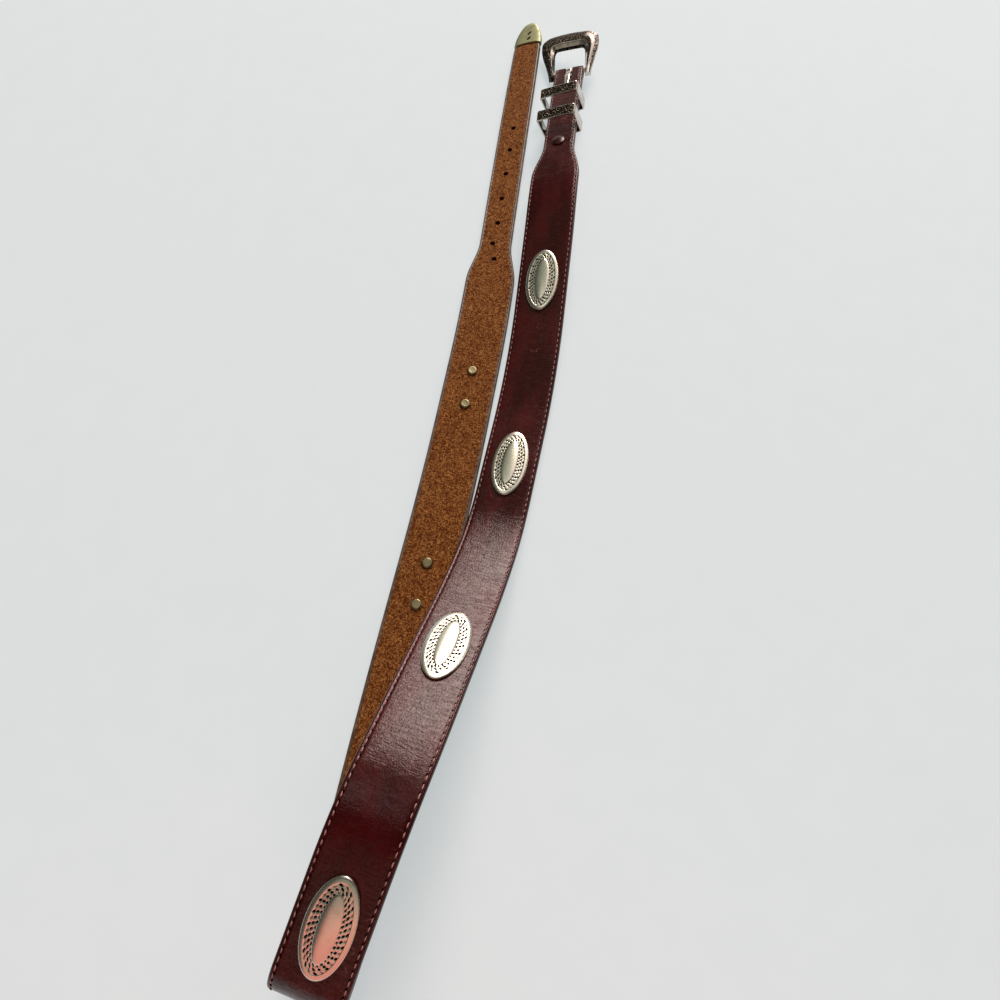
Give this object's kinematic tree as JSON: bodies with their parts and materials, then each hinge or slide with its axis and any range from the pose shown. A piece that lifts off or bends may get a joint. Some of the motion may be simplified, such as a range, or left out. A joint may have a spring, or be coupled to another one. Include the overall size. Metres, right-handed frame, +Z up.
{
  "type": "western leather belt with buckle, keepers, conchos and metal tip",
  "caption": "Folded burgundy ranger-style western belt: suede lining, oval engraved conchos, narrow billets, U-shaped buckle, metal keepers and a pointed metal tip.",
  "frame": {"origin": "middle of the footprint, at the surface the belt lies on", "axes": "+Z up; +Y from the fold toward the buckle and the tip; +X toward the buckle side"},
  "size_m": [0.1092, 0.7606, 0.0926],
  "materials": {
    "burgundy_leather": "smooth, waxed, fine creases",
    "brown_suede": "rough-out nap",
    "concho_metal": "antiqued nickel silver, engraved",
    "buckle_metal": "antiqued nickel, engraved face and polished edges",
    "keeper_metal": "antiqued nickel, engraved front and plain sides",
    "tip_metal": "worn nickel",
    "rivet_metal": "dull nickel-plated steel",
    "snap_cover": "leather-coloured enamel cap"
  },
  "bodies": {
    "strap": {"face_leather": "burgundy_leather", "suede_lining": "brown_suede", "metal_tip": "tip_metal", "snap_cap": "snap_cover", "snap_stud": "rivet_metal", "concho_1": "concho_metal", "concho_2": "concho_metal", "concho_3": "concho_metal", "concho_4": "concho_metal", "concho_5": "concho_metal", "concho_6": "concho_metal", "concho_7": "concho_metal", "rivet_1_tip_side": "rivet_metal", "rivet_1_buckle_side": "rivet_metal", "rivet_2_tip_side": "rivet_metal", "rivet_2_buckle_side": "rivet_metal", "rivet_3_tip_side": "rivet_metal", "rivet_3_buckle_side": "rivet_metal", "rivet_4_tip_side": "rivet_metal", "rivet_4_buckle_side": "rivet_metal", "rivet_5_tip_side": "rivet_metal", "rivet_5_buckle_side": "rivet_metal", "rivet_6_tip_side": "rivet_metal", "rivet_6_buckle_side": "rivet_metal", "rivet_7_tip_side": "rivet_metal", "rivet_7_buckle_side": "rivet_metal"},
    "buckle": {"buckle_frame": "buckle_metal"},
    "buckle_tongue": {"tongue": "buckle_metal"},
    "keeper_by_buckle": {"keeper_near_buckle": "keeper_metal"},
    "keeper_by_snap": {"keeper_near_snap": "keeper_metal"}
  },
  "joints": [
    {"name": "buckle_turns_on_bar", "type": "hinge", "parent": "strap", "child": "buckle", "pos_m": [0.03172, 0.32106, 0.00821], "axis": [0.9639, 0.0313, 0.2644], "range_deg": [-45, 34]},
    {"name": "tongue_turns_on_bar", "type": "hinge", "parent": "strap", "child": "buckle_tongue", "pos_m": [0.03172, 0.32106, 0.00821], "axis": [-0.9639, -0.0313, -0.2644], "range_deg": [0, 96]},
    {"name": "keeper_by_buckle_slides", "type": "slide", "parent": "strap", "child": "keeper_by_buckle", "axis": [0.0032, 0.9916, -0.1292], "range_m": [-0.008, 0.024]},
    {"name": "keeper_by_snap_slides", "type": "slide", "parent": "strap", "child": "keeper_by_snap", "axis": [0.0032, 0.9916, -0.1292], "range_m": [-0.012, 0.008]}
  ]
}
